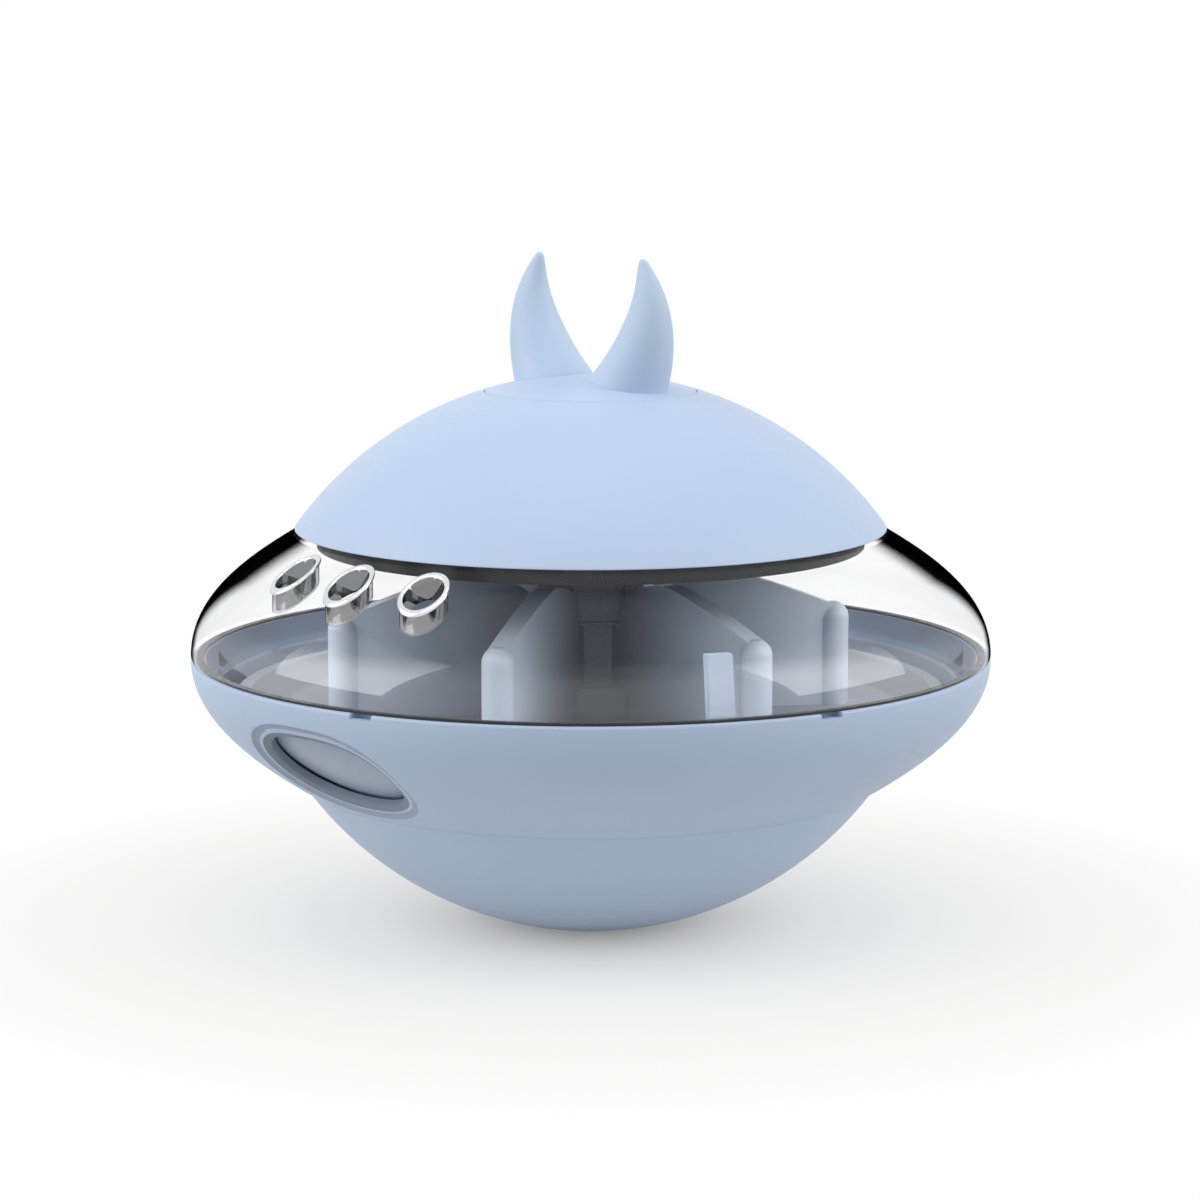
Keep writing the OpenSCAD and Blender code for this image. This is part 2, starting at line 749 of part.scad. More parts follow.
// Soft ear: a leaning horn of rings from its foot on the cap to its tip, and a root that hooks under the cap
module ear(side) {
    half_span = ears_span / 2;
    rings = len(ear_height_shares);
    outline = [
        for (i = [0:rings - 1], k = [0:EAR_SIDES - 1])
            let (
                a = 360 * k / EAR_SIDES,
                radius = ear_foot_r * ear_round_shares[i],
                x = half_span * ear_middle_shares[i] + radius * cos(a),
                y = radius * (1 - ear_flat_share * ear_height_shares[i]) * sin(a),
                foot = sphere_h(dome_round_r, dome_mid_h, norm([x, y])) - ear_sink
            )
            [x, y, foot + ear_height_shares[i] * (ear_tip_h - foot)]
    ];
    foot_middle = [half_span * ear_middle_shares[0], 0, cap_roof_h];
    tip = [half_span * ear_tip_share, 0, ear_tip_h];
    last = (rings - 1) * EAR_SIDES;
    faces = concat(
        [for (k = [0:EAR_SIDES - 1]) [len(outline), k, (k + 1) % EAR_SIDES]],
        [
            for (i = [0:rings - 2], k = [0:EAR_SIDES - 1], half = [0, 1])
                let (a = i * EAR_SIDES + k, b = i * EAR_SIDES + (k + 1) % EAR_SIDES)
                half == 0 ? [a, a + EAR_SIDES, b] : [b, a + EAR_SIDES, b + EAR_SIDES]
        ],
        [for (k = [0:EAR_SIDES - 1]) [last + k, len(outline) + 1, last + (k + 1) % EAR_SIDES]]
    );
    color("lightblue")
    mirror([side < 0 ? 1 : 0, 0, 0]) {
        difference() {
            polyhedron(points = concat(outline, [foot_middle, tip]), faces = faces);
            ball(dome_round_r, dome_mid_h);
        }
        translate([root_place_r, 0, cap_roof_h])
            translate([-root_w / 2, -root_t / 2, -root_foot_h / 2])
                cube([root_w, root_t, cap_roof_t + root_foot_h]);
        translate([root_place_r - root_w / 2, -root_foot_t / 2, cap_roof_h - root_foot_h])
            cube([root_w, root_foot_t, root_foot_h]);
    }
}
module left_ear() ear(-1);
module right_ear() ear(1);

base_cup();
base_weight();
weight_washer();
weight_screw();
base_screws();
saucer_bowl();
seam_seal();
treat_tray();
partition_wheel();
hub_cap();
hub_screw();
gate_ring();
window_ring();
outlet_sleeve_left();
outlet_sleeve_middle();
outlet_sleeve_right();
top_dome();
lid_seal();
ear_cap();
left_ear();
right_ear();
plug_seal();
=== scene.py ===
"""Looks of a treat dispensing wobble toy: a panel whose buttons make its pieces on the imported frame."""

import json
import math

import bmesh
import bpy
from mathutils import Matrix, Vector
from mathutils.bvhtree import BVHTree

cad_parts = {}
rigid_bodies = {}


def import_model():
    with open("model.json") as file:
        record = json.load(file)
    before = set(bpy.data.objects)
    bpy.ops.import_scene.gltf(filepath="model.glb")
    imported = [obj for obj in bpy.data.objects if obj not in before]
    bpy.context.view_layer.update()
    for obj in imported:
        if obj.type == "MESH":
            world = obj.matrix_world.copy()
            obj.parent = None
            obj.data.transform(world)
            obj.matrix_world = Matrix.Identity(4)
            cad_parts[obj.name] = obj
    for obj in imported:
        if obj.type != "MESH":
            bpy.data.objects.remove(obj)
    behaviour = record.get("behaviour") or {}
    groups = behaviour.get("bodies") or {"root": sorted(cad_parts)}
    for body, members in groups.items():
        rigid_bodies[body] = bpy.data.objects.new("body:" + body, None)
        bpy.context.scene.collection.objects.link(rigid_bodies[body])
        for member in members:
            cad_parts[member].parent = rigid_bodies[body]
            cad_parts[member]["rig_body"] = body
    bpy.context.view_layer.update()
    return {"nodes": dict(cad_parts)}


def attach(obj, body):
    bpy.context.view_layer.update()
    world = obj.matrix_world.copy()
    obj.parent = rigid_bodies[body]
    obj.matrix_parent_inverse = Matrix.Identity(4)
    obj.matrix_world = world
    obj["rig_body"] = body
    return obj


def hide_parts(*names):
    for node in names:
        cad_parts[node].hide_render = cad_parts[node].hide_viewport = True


bl_info = {
    "name": "Treat Dispensing Wobble Toy",
    "version": (1, 0, 0),
    "blender": (4, 5, 0),
    "location": "3D View > Sidebar > Wobble Toy",
    "description": "Makes the visible pieces of a treat dispensing wobble toy",
    "category": "Add Mesh",
}

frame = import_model()

MM = 0.001
SPIN_STEPS = 192
CURVE_STEPS = 28
CAP_SEAM = 0.1 * MM
SLOPE = math.radians(31)  # of the saucer's lower wall and of the window's top
LID_GAP = 0.3 * MM  # between lid and window, and between the cap's plug and the fill hole
DOME_LAND = 0.5 * MM  # width of the flat underside at the dome's edge
COLLAR_IN = 3.1 * MM  # from the dome's edge in to the bore of the window's collar
COLLAR_LAND = 1.8 * MM  # width of the collar's sloped top
COLLAR_SEAT = 1.3 * MM  # width of the collar's flat top
PORT_POWER = 2.4  # of the port's outline, between an ellipse at 2 and a box
CAMERA_TURN = 44  # degrees


def screen(red, green, blue):
    """A colour read off a screen, 0 to 255, as the linear colour that a socket holds."""
    return tuple(
        c / 3294.6 if c <= 10 else ((c / 255 + 0.055) / 1.055) ** 2.4
        for c in (red, green, blue)
    ) + (1.0,)


def length(name, description, value):
    return bpy.props.FloatProperty(
        name=name, description=description, default=value * MM, min=0, unit="LENGTH", precision=5
    )


def colour(name, description, value):
    return bpy.props.FloatVectorProperty(
        name=name, description=description, default=value, size=4, min=0, max=1, subtype="COLOR"
    )


class ToySizes(bpy.types.PropertyGroup):
    """Sizes of the toy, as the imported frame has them"""

    saucer_r: length("Saucer radius", "Widest radius, where saucer and window meet", 60)
    seam_h: length("Parting line height", "Height of the parting line above the ground", 41)
    seam_gap: length("Parting line gap", "Gap between the saucer and the window", 0.4)
    kink_h: length("Base height", "Height where the saucer meets the base cup", 21.6)
    saucer_wall: length("Saucer wall", "Wall of the saucer", 2.2)
    base_round_r: length("Underside radius", "Radius of the round underside", 53)
    base_wall: length("Base wall", "Wall of the base cup", 2.4)
    foot_r: length("Foot radius", "Radius of the flat spot that the toy stands on", 8.8)
    window_w: length("Window width", "Width of the window ring seen from above", 15.6)
    window_wall: length("Window wall", "Wall of the window ring", 2)
    dome_rim_h: length("Dome edge height", "Height of the dome's lower edge", 60)
    dome_rise: length("Dome rise", "Height of the dome above its lower edge", 22.8)
    dome_wall: length("Dome wall", "Wall of the dome", 2.2)
    cap_r: length("Cap radius", "Radius of the cap in the top of the dome", 15.8)
    fill_r: length("Fill hole radius", "Radius of the fill hole under the cap", 13.2)
    ear_h: length("Ear height", "Height of the ear tips above the cap", 17.8)
    ears_span: length("Ears' span", "Widest distance across both ears", 31.2)
    ear_foot_r: length("Ear foot radius", "Radius of an ear's round foot", 6)
    port_h: length("Port height", "Height of the middle of the port", 28.2)
    port_half_w: length("Port half width", "Half of the width of the port's opening", 11.8)
    port_half_h: length("Port half height", "Half of the height of the port's opening", 7.7)
    port_rim_w: length("Port rim width", "Width of the stepped rim round the port", 2.1)
    outlet_r: length("Sleeve radius", "Outer radius of an outlet sleeve", 3.4)
    outlet_wall: length("Sleeve wall", "Wall of an outlet sleeve", 0.5)
    outlet_drop: length("Sleeve drop", "How far a sleeve reaches below the window's face", 3)


class ToyColours(bpy.types.PropertyGroup):
    """Colours of the toy's finishes"""

    shell: colour("Shell", "Satin plastic of dome, saucer and base", screen(189, 208, 234))
    # Port wall and port rim: darker copies of the shell plastic, painted shade in the port's recess
    port_wall_shade: colour("Port wall", "Matt wall of the treat port", screen(132, 143, 160))
    port_rim_shade: colour("Port rim", "Matt outer ring of the treat port", screen(160, 174, 195))
    # Painted shade: the dome's skirt is coloured near-black for the shade under the dome's edge
    skirt: colour("Lid skirt painted shade", "Dark band under the dome's edge", screen(28, 30, 34))
    ears: colour("Ears", "Soft plastic of the ears", screen(192, 211, 234))
    inside: colour("Tray", "Plastic of the treat tray", screen(200, 206, 216))
    # Painted shade: the tray's middle is darkened for the shade under the dome
    tray_middle_shade: colour("Tray's middle", "Middle of the treat tray, painted shade", screen(112, 124, 143))
    # Painted shade: the dome's inner face is darkened for the shade inside the dome
    lid_inside_shade: colour("Lid inside painted shade", "Inner face of the dome", screen(92, 101, 118))
    wheel: colour("Partition wheel", "Plastic of the fins", screen(226, 238, 251))
    # Painted shade: the hub's dark colour stands in for the shade under the dome
    hub: colour("Hub", "Plastic of the hub and its cap", screen(58, 68, 88))
    # Painted shade: the gate's band is a darker copy of its tab's plastic, for its shade in the port
    gate: colour("Gate", "Plastic of the sliding gate", screen(166, 180, 201))
    tab: colour("Thumb tab", "Plastic of the gate's thumb tab", screen(208, 226, 248))
    clear: colour("Window", "What the clear window lets through", screen(255, 255, 255))
    # Painted dark reflection: what the clear plastic lets through and mirrors where it turns away
    clear_painted_dark: colour("Window painted dark edge", "What the window lets through where it turns away", screen(6, 6, 8))
    # Painted dark reflection: a dark tint that the clear bore walls of the sleeves let through
    bore_dark_tint: colour("Sleeve bore", "What the walls of the sleeves' bores let through", screen(58, 60, 66))
    chrome: colour("Sleeve lip", "Polished lip of a sleeve", screen(226, 228, 232))
    seal: colour("Seals", "Soft dark seals", screen(26, 27, 30))
    steel: colour("Steel", "Screws, washer and weight", screen(172, 174, 178))
    floor: colour("Floor", "Pale floor under the toy", screen(232, 229, 223))
    floor_far: colour("Far floor", "Pale floor away from the toy", screen(168, 166, 163))


# Outlines: four-point curves in metres as (distance from the axis, height)


def curve_point(curve, share):
    left = 1 - share
    weights = (left**3, 3 * left**2 * share, 3 * left * share**2, share**3)
    x, y = (sum(w * p[axis] for w, p in zip(weights, curve)) for axis in (0, 1))
    return Vector((x, y))


def curve_way(curve, share):
    left = 1 - share
    steps = [Vector(b) - Vector(a) for a, b in zip(curve, curve[1:])]
    way = left**2 * steps[0] + 2 * left * share * steps[1] + share**2 * steps[2]
    return way.normalized()


def inset_point(curve, share, inset):
    """Point set in from the curve towards the axis."""
    way = curve_way(curve, share)
    side = 1 if curve[3][1] > curve[0][1] else -1
    return curve_point(curve, share) + side * inset * Vector((-way.y, way.x))


def share_at_height(curve, inset, height):
    low, high = 0.0, 1.0
    rising = curve[3][1] > curve[0][1]
    for _ in range(40):
        middle = (low + high) / 2
        if (inset_point(curve, middle, inset).y > height) == rising:
            high = middle
        else:
            low = middle
    return (low + high) / 2


def inset_outline(curve, inset, start, end, steps=CURVE_STEPS):
    return [tuple(inset_point(curve, start + (end - start) * i / steps, inset)) for i in range(steps + 1)]


def bowl_curve(s):
    kink_r = math.sqrt(s.base_round_r**2 - (base_mid_h(s) - s.kink_h) ** 2)
    top = s.seam_h - s.seam_gap / 2
    reach = 0.654 * (s.saucer_r - kink_r)
    return [
        (s.saucer_r, top),
        (s.saucer_r, top - 0.386 * (s.seam_h - s.kink_h)),
        (kink_r + reach * math.cos(SLOPE), s.kink_h + reach * math.sin(SLOPE)),
        (kink_r, s.kink_h),
    ]


def window_curve(s):
    rim_r = dome_rim_r(s)
    low = s.seam_h + s.seam_gap / 2
    top = s.dome_rim_h - LID_GAP - DOME_LAND * math.tan(SLOPE)
    reach = 0.51 * s.window_w
    return [
        (s.saucer_r, low),
        (s.saucer_r, low + 0.46 * (s.dome_rim_h - s.seam_h)),
        (rim_r + reach * math.cos(SLOPE), top - reach * math.sin(SLOPE)),
        (rim_r, top),
    ]


def base_mid_h(s):
    return math.sqrt(s.base_round_r**2 - s.foot_r**2)


def dome_rim_r(s):
    return s.saucer_r - s.window_w


def dome_ball(s):
    """Radius and middle height of the dome's outer face."""
    radius = (dome_rim_r(s) ** 2 + s.dome_rise**2) / (2 * s.dome_rise)
    return radius, s.dome_rim_h + s.dome_rise - radius


def collar_top(s):
    """Height of the flat top of the window's collar."""
    return window_curve(s)[3][1] + COLLAR_LAND * math.tan(SLOPE)


def ball_height(radius, middle, away):
    return middle + math.sqrt(radius**2 - away**2)


def ball_arc(radius, middle, start_r, end_r, steps=CURVE_STEPS):
    """Points on the upper face of a ball, evenly turned, from one distance to another."""
    start, end = (math.asin(min(1, r / radius)) for r in (start_r, end_r))
    turns = [start + (end - start) * i / steps for i in range(steps + 1)]
    return [(radius * math.sin(a), middle + radius * math.cos(a)) for a in turns]


def rounded(points, corner, radius, steps=5):
    """The outline with one corner rounded off."""
    before, here, after = (Vector(points[(corner + i) % len(points)]) for i in (-1, 0, 1))
    start = here + (before - here).normalized() * radius
    end = here + (after - here).normalized() * radius
    curve = [start.lerp(here, t).lerp(here.lerp(end, t), t) for t in (i / steps for i in range(steps + 1))]
    return points[:corner] + [tuple(p) for p in curve] + points[corner + 1 :]


# Work on one piece at a time, as by hand


def pick(piece):
    bpy.ops.object.select_all(action="DESELECT")
    piece.select_set(True)
    bpy.context.view_layer.objects.active = piece


def turned(name, points, steps=SPIN_STEPS):
    """Draws the outline with one dragged-out vertex and spins it about the axis."""
    bpy.ops.object.select_all(action="DESELECT")
    bpy.ops.mesh.primitive_plane_add(size=1, location=(0, 0, 0))
    piece = bpy.context.object
    piece.name = name
    bpy.ops.object.mode_set(mode="EDIT")
    bpy.ops.mesh.select_all(action="SELECT")
    bpy.ops.mesh.merge(type="CENTER")
    bpy.ops.transform.translate(value=(points[0][0], 0, points[0][1]))
    for here, there in zip(points, points[1:]):
        step = (there[0] - here[0], 0, there[1] - here[1])
        bpy.ops.mesh.extrude_vertices_move(TRANSFORM_OT_translate={"value": step})
    bpy.ops.mesh.select_all(action="SELECT")
    bpy.ops.mesh.spin(steps=steps, angle=math.tau, center=(0, 0, 0), axis=(0, 0, 1))
    bpy.ops.mesh.select_all(action="SELECT")
    bpy.ops.mesh.remove_doubles(threshold=0.002 * MM)
    bpy.ops.object.mode_set(mode="OBJECT")
    face_out(piece)
    return piece


def face_out(piece):
    """Turns a closed piece's faces outwards."""
    pick(piece)
    bpy.ops.object.mode_set(mode="EDIT")
    bpy.ops.mesh.select_all(action="SELECT")
    bpy.ops.mesh.normals_make_consistent(inside=False)
    net = bmesh.from_edit_mesh(piece.data)
    if net.calc_volume(signed=True) < 0:
        bpy.ops.mesh.flip_normals()
    bpy.ops.object.mode_set(mode="OBJECT")


def closed(points):
    return points + [points[0]]


def smooth(piece, degrees=32):
    pick(piece)
    bpy.ops.object.shade_smooth_by_angle(angle=math.radians(degrees))


def cut(piece, cutter):
    """Takes the cutter out of the piece."""
    pick(piece)
    tool = piece.modifiers.new("Cut", "BOOLEAN")
    tool.operation = "DIFFERENCE"
    tool.solver = "EXACT"
    tool.object = cutter
    bpy.ops.object.modifier_apply(modifier=tool.name)
    bpy.data.objects.remove(cutter)


def softened_copy(node, name, width=0, merge=True):
    """A copy of a CAD node's mesh, with its flat faces merged unless told not to, its edges rounded when
    given a width, and its shading even.
    """
    piece = bpy.data.objects.new(name, frame["nodes"][node].data.copy())
    bpy.context.scene.collection.objects.link(piece)
    pick(piece)
    bpy.ops.object.mode_set(mode="EDIT")
    bpy.ops.mesh.select_all(action="SELECT")
    bpy.ops.mesh.remove_doubles(threshold=0.002 * MM)
    if merge:
        bpy.ops.mesh.dissolve_limited(angle_limit=math.radians(0.5))
    bpy.ops.object.mode_set(mode="OBJECT")
    if width:
        edge = piece.modifiers.new("Edges", "BEVEL")
        edge.width = width
        edge.segments = 3
        edge.limit_method = "ANGLE"
        edge.angle_limit = math.radians(38)
        bpy.ops.object.modifier_apply(modifier=edge.name)
    smooth(piece)
    even = piece.modifiers.new("Even shading", "WEIGHTED_NORMAL")
    even.keep_sharp = True
    bpy.ops.object.modifier_apply(modifier=even.name)
    return piece


def stands_for(piece, node, material):
    """The piece rides on its node's body, hides the node and takes its finish."""
    piece.data.materials.clear()
    piece.data.materials.append(material)
    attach(piece, frame["nodes"][node]["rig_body"])
    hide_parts(node)


def also(piece, material, chosen):
    """Gives the faces that the test picks a second finish."""
    piece.data.materials.append(material)
    slot = len(piece.data.materials) - 1
    for face in piece.data.polygons:
        if chosen(face):
            face.material_index = slot


# Finishes


def new_finish(name):
    material = bpy.data.materials.get(name)
    if material:
        return material, False
    material = bpy.data.materials.new(name)
    material.use_nodes = True
    material.node_tree.nodes.clear()
    return material, True


def add(material, kind, settings=None, **values):
    """Adds a node; a value that is a socket is linked, any other is set."""
    made = material.node_tree.nodes.new(kind)
    for key, value in (settings or {}).items():
        setattr(made, key, value)
    for key, value in values.items():
        plug = made.inputs[key.replace("_", " ")]
        if isinstance(value, bpy.types.NodeSocket):
            material.node_tree.links.new(value, plug)
        else:
            plug.default_value = value
    return made


def blended(material, factor, first, second):
    """Mixes two colours."""
    made = add(material, "ShaderNodeMix", {"data_type": "RGBA"})
    for index, value in ((0, factor), (6, first), (7, second)):
        if isinstance(value, bpy.types.NodeSocket):
            material.node_tree.links.new(value, made.inputs[index])
        else:
            made.inputs[index].default_value = value
    return made.outputs[2]


def speckle(material, scale, detail=2.0):
    """Noise on the piece's own coordinates."""
    place = add(material, "ShaderNodeTexCoord").outputs["Object"]
    return add(material, "ShaderNodeTexNoise", Vector=place, Scale=scale, Detail=detail).outputs["Fac"]


def ranged(material, value, low, high, start=0.35, end=0.65):
    """Maps a value from start and end to low and high."""
    limits = {"From_Min": start, "From_Max": end, "To_Min": low, "To_Max": high}
    return add(material, "ShaderNodeMapRange", Value=value, **limits).outputs["Result"]


def maths(material, operation, *values):
    made = add(material, "ShaderNodeMath", {"operation": operation})
    for plug, value in zip(made.inputs, values):
        if isinstance(value, bpy.types.NodeSocket):
            material.node_tree.links.new(value, plug)
        else:
            plug.default_value = value
    return made.outputs[0]


def shaded(tint, share):
    return tuple(c * share for c in tint[:3]) + (1.0,)


def output(material, surface):
    add(material, "ShaderNodeOutputMaterial", Surface=surface)
    return material


def moulded_plastic(name, tint, gloss=(0.4, 0.5), grain=0.02, soft=0.0):
    """Satin moulded plastic: a slow drift of colour, and a fine grain in its gloss and its skin."""
    material, fresh = new_finish(name)
    if not fresh:
        return material
    drift = ranged(material, speckle(material, 24), 0, 1)
    skin = speckle(material, 2600, 3)
    bump = add(material, "ShaderNodeBump", Strength=grain, Distance=0.05 * MM, Height=skin)
    surface = add(
        material,
        "ShaderNodeBsdfPrincipled",
        Base_Color=blended(material, drift, shaded(tint, 0.975), tint),
        Roughness=ranged(material, speckle(material, 900), *gloss),
        Specular_IOR_Level=0.4,
        Subsurface_Weight=soft,
        Subsurface_Scale=1.5 * MM,
        Normal=bump.outputs["Normal"],
    )
    return output(material, surface.outputs["BSDF"])


def shade_towards_axis(name, middle, edge, near, far, gloss=(0.28, 0.4)):
    """Moulded plastic with painted shade near the toy's axis, pale away from it."""
    material, fresh = new_finish(name)
    if not fresh:
        return material
    place = add(material, "ShaderNodeTexCoord").outputs["Object"]
    flat = add(material, "ShaderNodeVectorMath", {"operation": "MULTIPLY"}, Vector=place)
    flat.inputs[1].default_value = (1, 1, 0)
    away = add(material, "ShaderNodeVectorMath", {"operation": "LENGTH"}, Vector=flat.outputs["Vector"])
    share = ranged(material, away.outputs["Value"], 0, 1, near, far)
    drifted = maths(material, "MULTIPLY_ADD", speckle(material, 30), 0.06, share)
    skin = speckle(material, 2600, 3)
    bump = add(material, "ShaderNodeBump", Strength=0.02, Distance=0.05 * MM, Height=skin)
    surface = add(
        material,
        "ShaderNodeBsdfPrincipled",
        Base_Color=blended(material, drifted, middle, edge),
        Roughness=ranged(material, speckle(material, 900), *gloss),
        Specular_IOR_Level=0.4,
        Normal=bump.outputs["Normal"],
    )
    return output(material, surface.outputs["BSDF"])


def clear_plastic(name, tint, painted_dark_tint, edge=(0.69, 0.82), shine=0.01, haze=0.07):
    """Clear glossy plastic with a painted dark reflection where it turns away, more so higher up, and which
    gleams lower down.
    """
    material, fresh = new_finish(name)
    if not fresh:
        return material
    ripple = add(
        material, "ShaderNodeBump", Strength=0.03, Distance=0.2 * MM, Height=speckle(material, 90, 1)
    ).outputs["Normal"]
    facing = add(material, "ShaderNodeLayerWeight", Blend=0.5).outputs["Facing"]
    place = add(material, "ShaderNodeTexCoord").outputs["Object"]
    height = add(material, "ShaderNodeSeparateXYZ", Vector=place).outputs["Z"]
    start = ranged(material, height, edge[1], edge[0], 46 * MM, 54 * MM)
    painted_dark_share = add(
        material,
        "ShaderNodeMapRange",
        {"interpolation_type": "SMOOTHSTEP"},
        Value=facing,
        From_Min=start,
        From_Max=maths(material, "ADD", start, 0.1),
    ).outputs["Result"]
    # Where the surface turns away, what it lets through and its mirror go dark: painted dark reflection,
    # starting sooner higher up
    let_through = blended(material, painted_dark_share, tint, painted_dark_tint)
    through = add(material, "ShaderNodeBsdfTransparent", Color=let_through)
    gleam = blended(material, painted_dark_share, (1, 1, 1, 1), painted_dark_tint)
    mirror = add(material, "ShaderNodeBsdfAnisotropic", Color=gleam, Roughness=0.02, Normal=ripple)
    steep = maths(material, "POWER", facing, 5.0)
    low_gleam = ranged(material, height, haze + shine, shine, 46.5 * MM, 49 * MM)
    share = maths(material, "MULTIPLY_ADD", steep, 0.6 - shine, low_gleam)
    surface = add(material, "ShaderNodeMixShader", Fac=share)
    material.node_tree.links.new(through.outputs["BSDF"], surface.inputs[1])
    material.node_tree.links.new(mirror.outputs["BSDF"], surface.inputs[2])
    return output(material, surface.outputs["Shader"])


def inner_clear(name, tint, shine=0.01):
    """Inner face of a clear wall: a faint gleam, and a slow ripple in it."""
    material, fresh = new_finish(name)
    if not fresh:
        return material
    ripple = add(
        material, "ShaderNodeBump", Strength=0.05, Distance=0.2 * MM, Height=speckle(material, 70, 1)
    ).outputs["Normal"]
    through = add(material, "ShaderNodeBsdfTransparent", Color=tint)
    mirror = add(material, "ShaderNodeBsdfAnisotropic", Color=(1, 1, 1, 1), Roughness=0.03, Normal=ripple)
    surface = add(material, "ShaderNodeMixShader", Fac=shine)
    material.node_tree.links.new(through.outputs["BSDF"], surface.inputs[1])
    material.node_tree.links.new(mirror.outputs["BSDF"], surface.inputs[2])
    return output(material, surface.outputs["Shader"])


def polished_lip(name, tint):
    """Bright polished lip with a faint drift in its gloss."""
    material, fresh = new_finish(name)
    if not fresh:
        return material
    surface = add(
        material,
        "ShaderNodeBsdfPrincipled",
        Base_Color=blended(material, speckle(material, 400), tint, shaded(tint, 0.9)),
        Metallic=0.85,
        Roughness=ranged(material, speckle(material, 700), 0.08, 0.16),
    )
    return output(material, surface.outputs["BSDF"])


def soft_seal(name, tint):
    """Dark soft rubber."""
    material, fresh = new_finish(name)
    if not fresh:
        return material
    bump = add(material, "ShaderNodeBump", Strength=0.2, Distance=0.05 * MM, Height=speckle(material, 1800))
    surface = add(
        material,
        "ShaderNodeBsdfPrincipled",
        Base_Color=blended(material, speckle(material, 300), tint, shaded(tint, 1.6)),
        Roughness=ranged(material, speckle(material, 500), 0.35, 0.55),
        Normal=bump.outputs["Normal"],
    )
    return output(material, surface.outputs["BSDF"])


def bare_steel(name, tint, roughness=(0.22, 0.38)):
    """Turned steel, with fine rings in its gloss."""
    material, fresh = new_finish(name)
    if not fresh:
        return material
    place = add(material, "ShaderNodeTexCoord").outputs["Object"]
    lines = add(
        material,
        "ShaderNodeTexWave",
        {"wave_type": "RINGS", "rings_direction": "Z"},
        Vector=place,
        Scale=900,
        Distortion=1.5,
    ).outputs["Fac"]
    bump = add(material, "ShaderNodeBump", Strength=0.15, Distance=0.02 * MM, Height=lines)
    surface = add(
        material,
        "ShaderNodeBsdfPrincipled",
        Base_Color=blended(material, lines, shaded(tint, 0.9), tint),
        Metallic=1.0,
        Roughness=ranged(material, lines, *roughness, 0, 1),
        Normal=bump.outputs["Normal"],
    )
    return output(material, surface.outputs["BSDF"])


# Pieces


class TOY_OT_base(bpy.types.Operator):
    """Makes the round weighted foot and finishes the weight and screws in it"""

    bl_idname = "toy.base"
    bl_label = "Base Cup"

    def execute(self, context):
        s, c = context.scene.toy_sizes, context.scene.toy_colours
        middle = base_mid_h(s)
        inner = s.base_round_r - s.base_wall
        pad, foot_edge = 4 * MM, 0.9 * MM

        def arc(radius, low, high):
            start, end = (math.acos((middle - h) / radius) for h in (low, high))
            turns = [start + (end - start) * i / CURVE_STEPS for i in range(CURVE_STEPS + 1)]
            return [(radius * math.sin(a), middle - radius * math.cos(a)) for a in turns]

        outside = arc(s.base_round_r, 0, s.kink_h)
        inside = arc(inner, pad, s.kink_h)
        outline = [(0, 0)] + outside + inside[::-1] + [(0, pad)]
        outline = rounded(outline, 1, foot_edge)
        cup = turned("base_cup_shell", outline)
        smooth(cup)
        stands_for(cup, "base_cup", moulded_plastic("Satin shell", c.shell))
        return {"FINISHED"}


